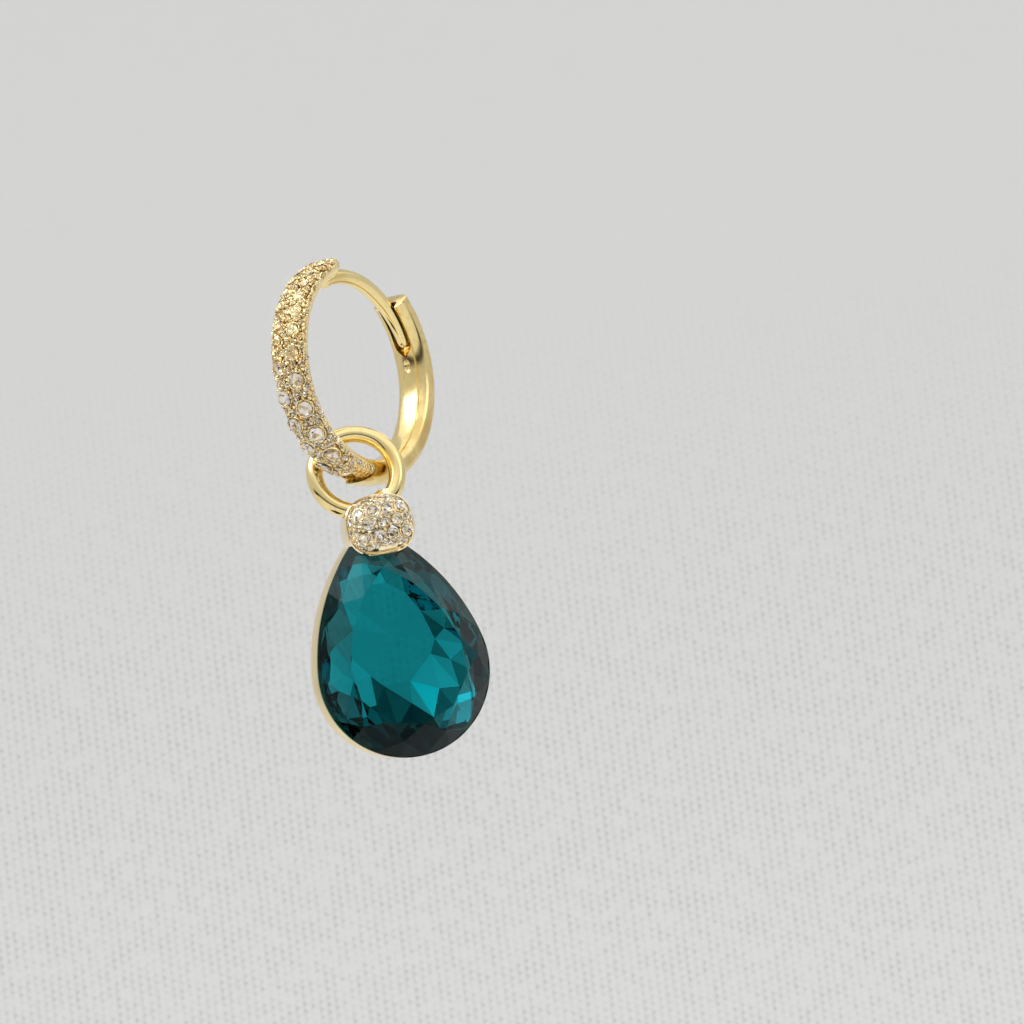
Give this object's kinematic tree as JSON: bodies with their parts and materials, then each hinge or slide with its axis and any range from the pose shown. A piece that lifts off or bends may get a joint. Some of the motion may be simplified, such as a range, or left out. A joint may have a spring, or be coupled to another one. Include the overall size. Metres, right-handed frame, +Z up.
{
  "type": "hinged hoop drop earring",
  "caption": "Small hinged hoop earring in two halves, the front half set with stones, with a large faceted pear-shaped drop hung from a round ring under a domed cap.",
  "frame": {"origin": "centreline of the ear post at its highest point", "axes": "+Z up, +Y from the stone-set front half towards the plain back half, +X across the hoop"},
  "size_m": [0.0087, 0.0134, 0.029],
  "materials": {
    "set_gold": "gold-plated, set with small clear stones",
    "polished_gold": "polished gold plate",
    "pale_gold": "polished pale gold plate",
    "teal_glass": "faceted and polished teal glass",
    "clear_stone": "small cut clear stones"
  },
  "bodies": {
    "hoop": {"front_hoop": "set_gold", "hinge_pin": "polished_gold"},
    "clasp": {"back_hoop": "polished_gold"},
    "ring": {"drop_ring": "polished_gold"},
    "pear": {"pear_setting": "pale_gold", "pear_stone": "teal_glass"}
  },
  "joints": [
    {"name": "clasp_hinge", "type": "hinge", "parent": "hoop", "child": "clasp", "pos_m": [0, -0.00167, -0.01102], "axis": [-1, 0, 0], "range_deg": [0, 50]},
    {"name": "ring_slide", "type": "hinge", "parent": "hoop", "child": "ring", "pos_m": [0, 0, -0.00536], "axis": [-1, 0, 0], "range_deg": [0, 30]},
    {"name": "drop_swing", "type": "hinge", "parent": "ring", "child": "pear", "pos_m": [0, -0.00105, -0.01148], "axis": [-0.6733, 0.7095, -0.2079], "range_deg": [-5, 25]}
  ],
  "couplings": [
    {"joint": "ring_slide", "follows": "clasp_hinge", "ratio": 0.6}
  ]
}
